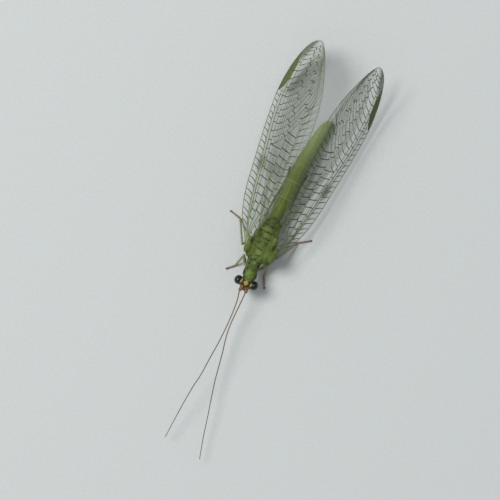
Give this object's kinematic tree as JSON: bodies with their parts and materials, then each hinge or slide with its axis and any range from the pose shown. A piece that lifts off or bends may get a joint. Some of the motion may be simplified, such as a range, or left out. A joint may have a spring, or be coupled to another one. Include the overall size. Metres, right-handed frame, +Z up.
{
  "type": "green lacewing",
  "caption": "Life-size still model of a green lacewing at rest, with roofed net-veined wings, long feelers and slim legs.",
  "frame": {"origin": "middle of the model's base, on the floor that the feet and the tip of the abdomen rest on", "axes": "+Z up from the floor, +Y from the head towards the tip of the abdomen and the wing tips, +X towards the insect's left side"},
  "size_m": [0.0072, 0.0284, 0.0048],
  "materials": {
    "body_green": "soft green cuticle with fine hairs",
    "collar_green": "bright green cuticle with small black spots",
    "head_yellow": "yellow and cream cuticle with black marks",
    "eye_dark": "glossy black faceted eye with a bronze sheen",
    "feeler_brown": "finely ringed brown",
    "leg_tan": "pale green to tan with brown feet",
    "wing_clear": "clear membrane with green and black veins"
  },
  "bodies": {
    "root": {"abdomen": "body_green", "mesothorax": "body_green", "metathorax": "body_green", "prothorax": "collar_green", "head": "head_yellow", "eye_left": "eye_dark", "eye_right": "eye_dark", "antenna_left": "feeler_brown", "antenna_right": "feeler_brown", "foreleg_left": "leg_tan", "foreleg_right": "leg_tan", "midleg_left": "leg_tan", "midleg_right": "leg_tan", "hindleg_left": "leg_tan", "hindleg_right": "leg_tan", "forewing_left": "wing_clear", "forewing_right": "wing_clear", "hindwing_left": "wing_clear", "hindwing_right": "wing_clear"}
  },
  "joints": []
}
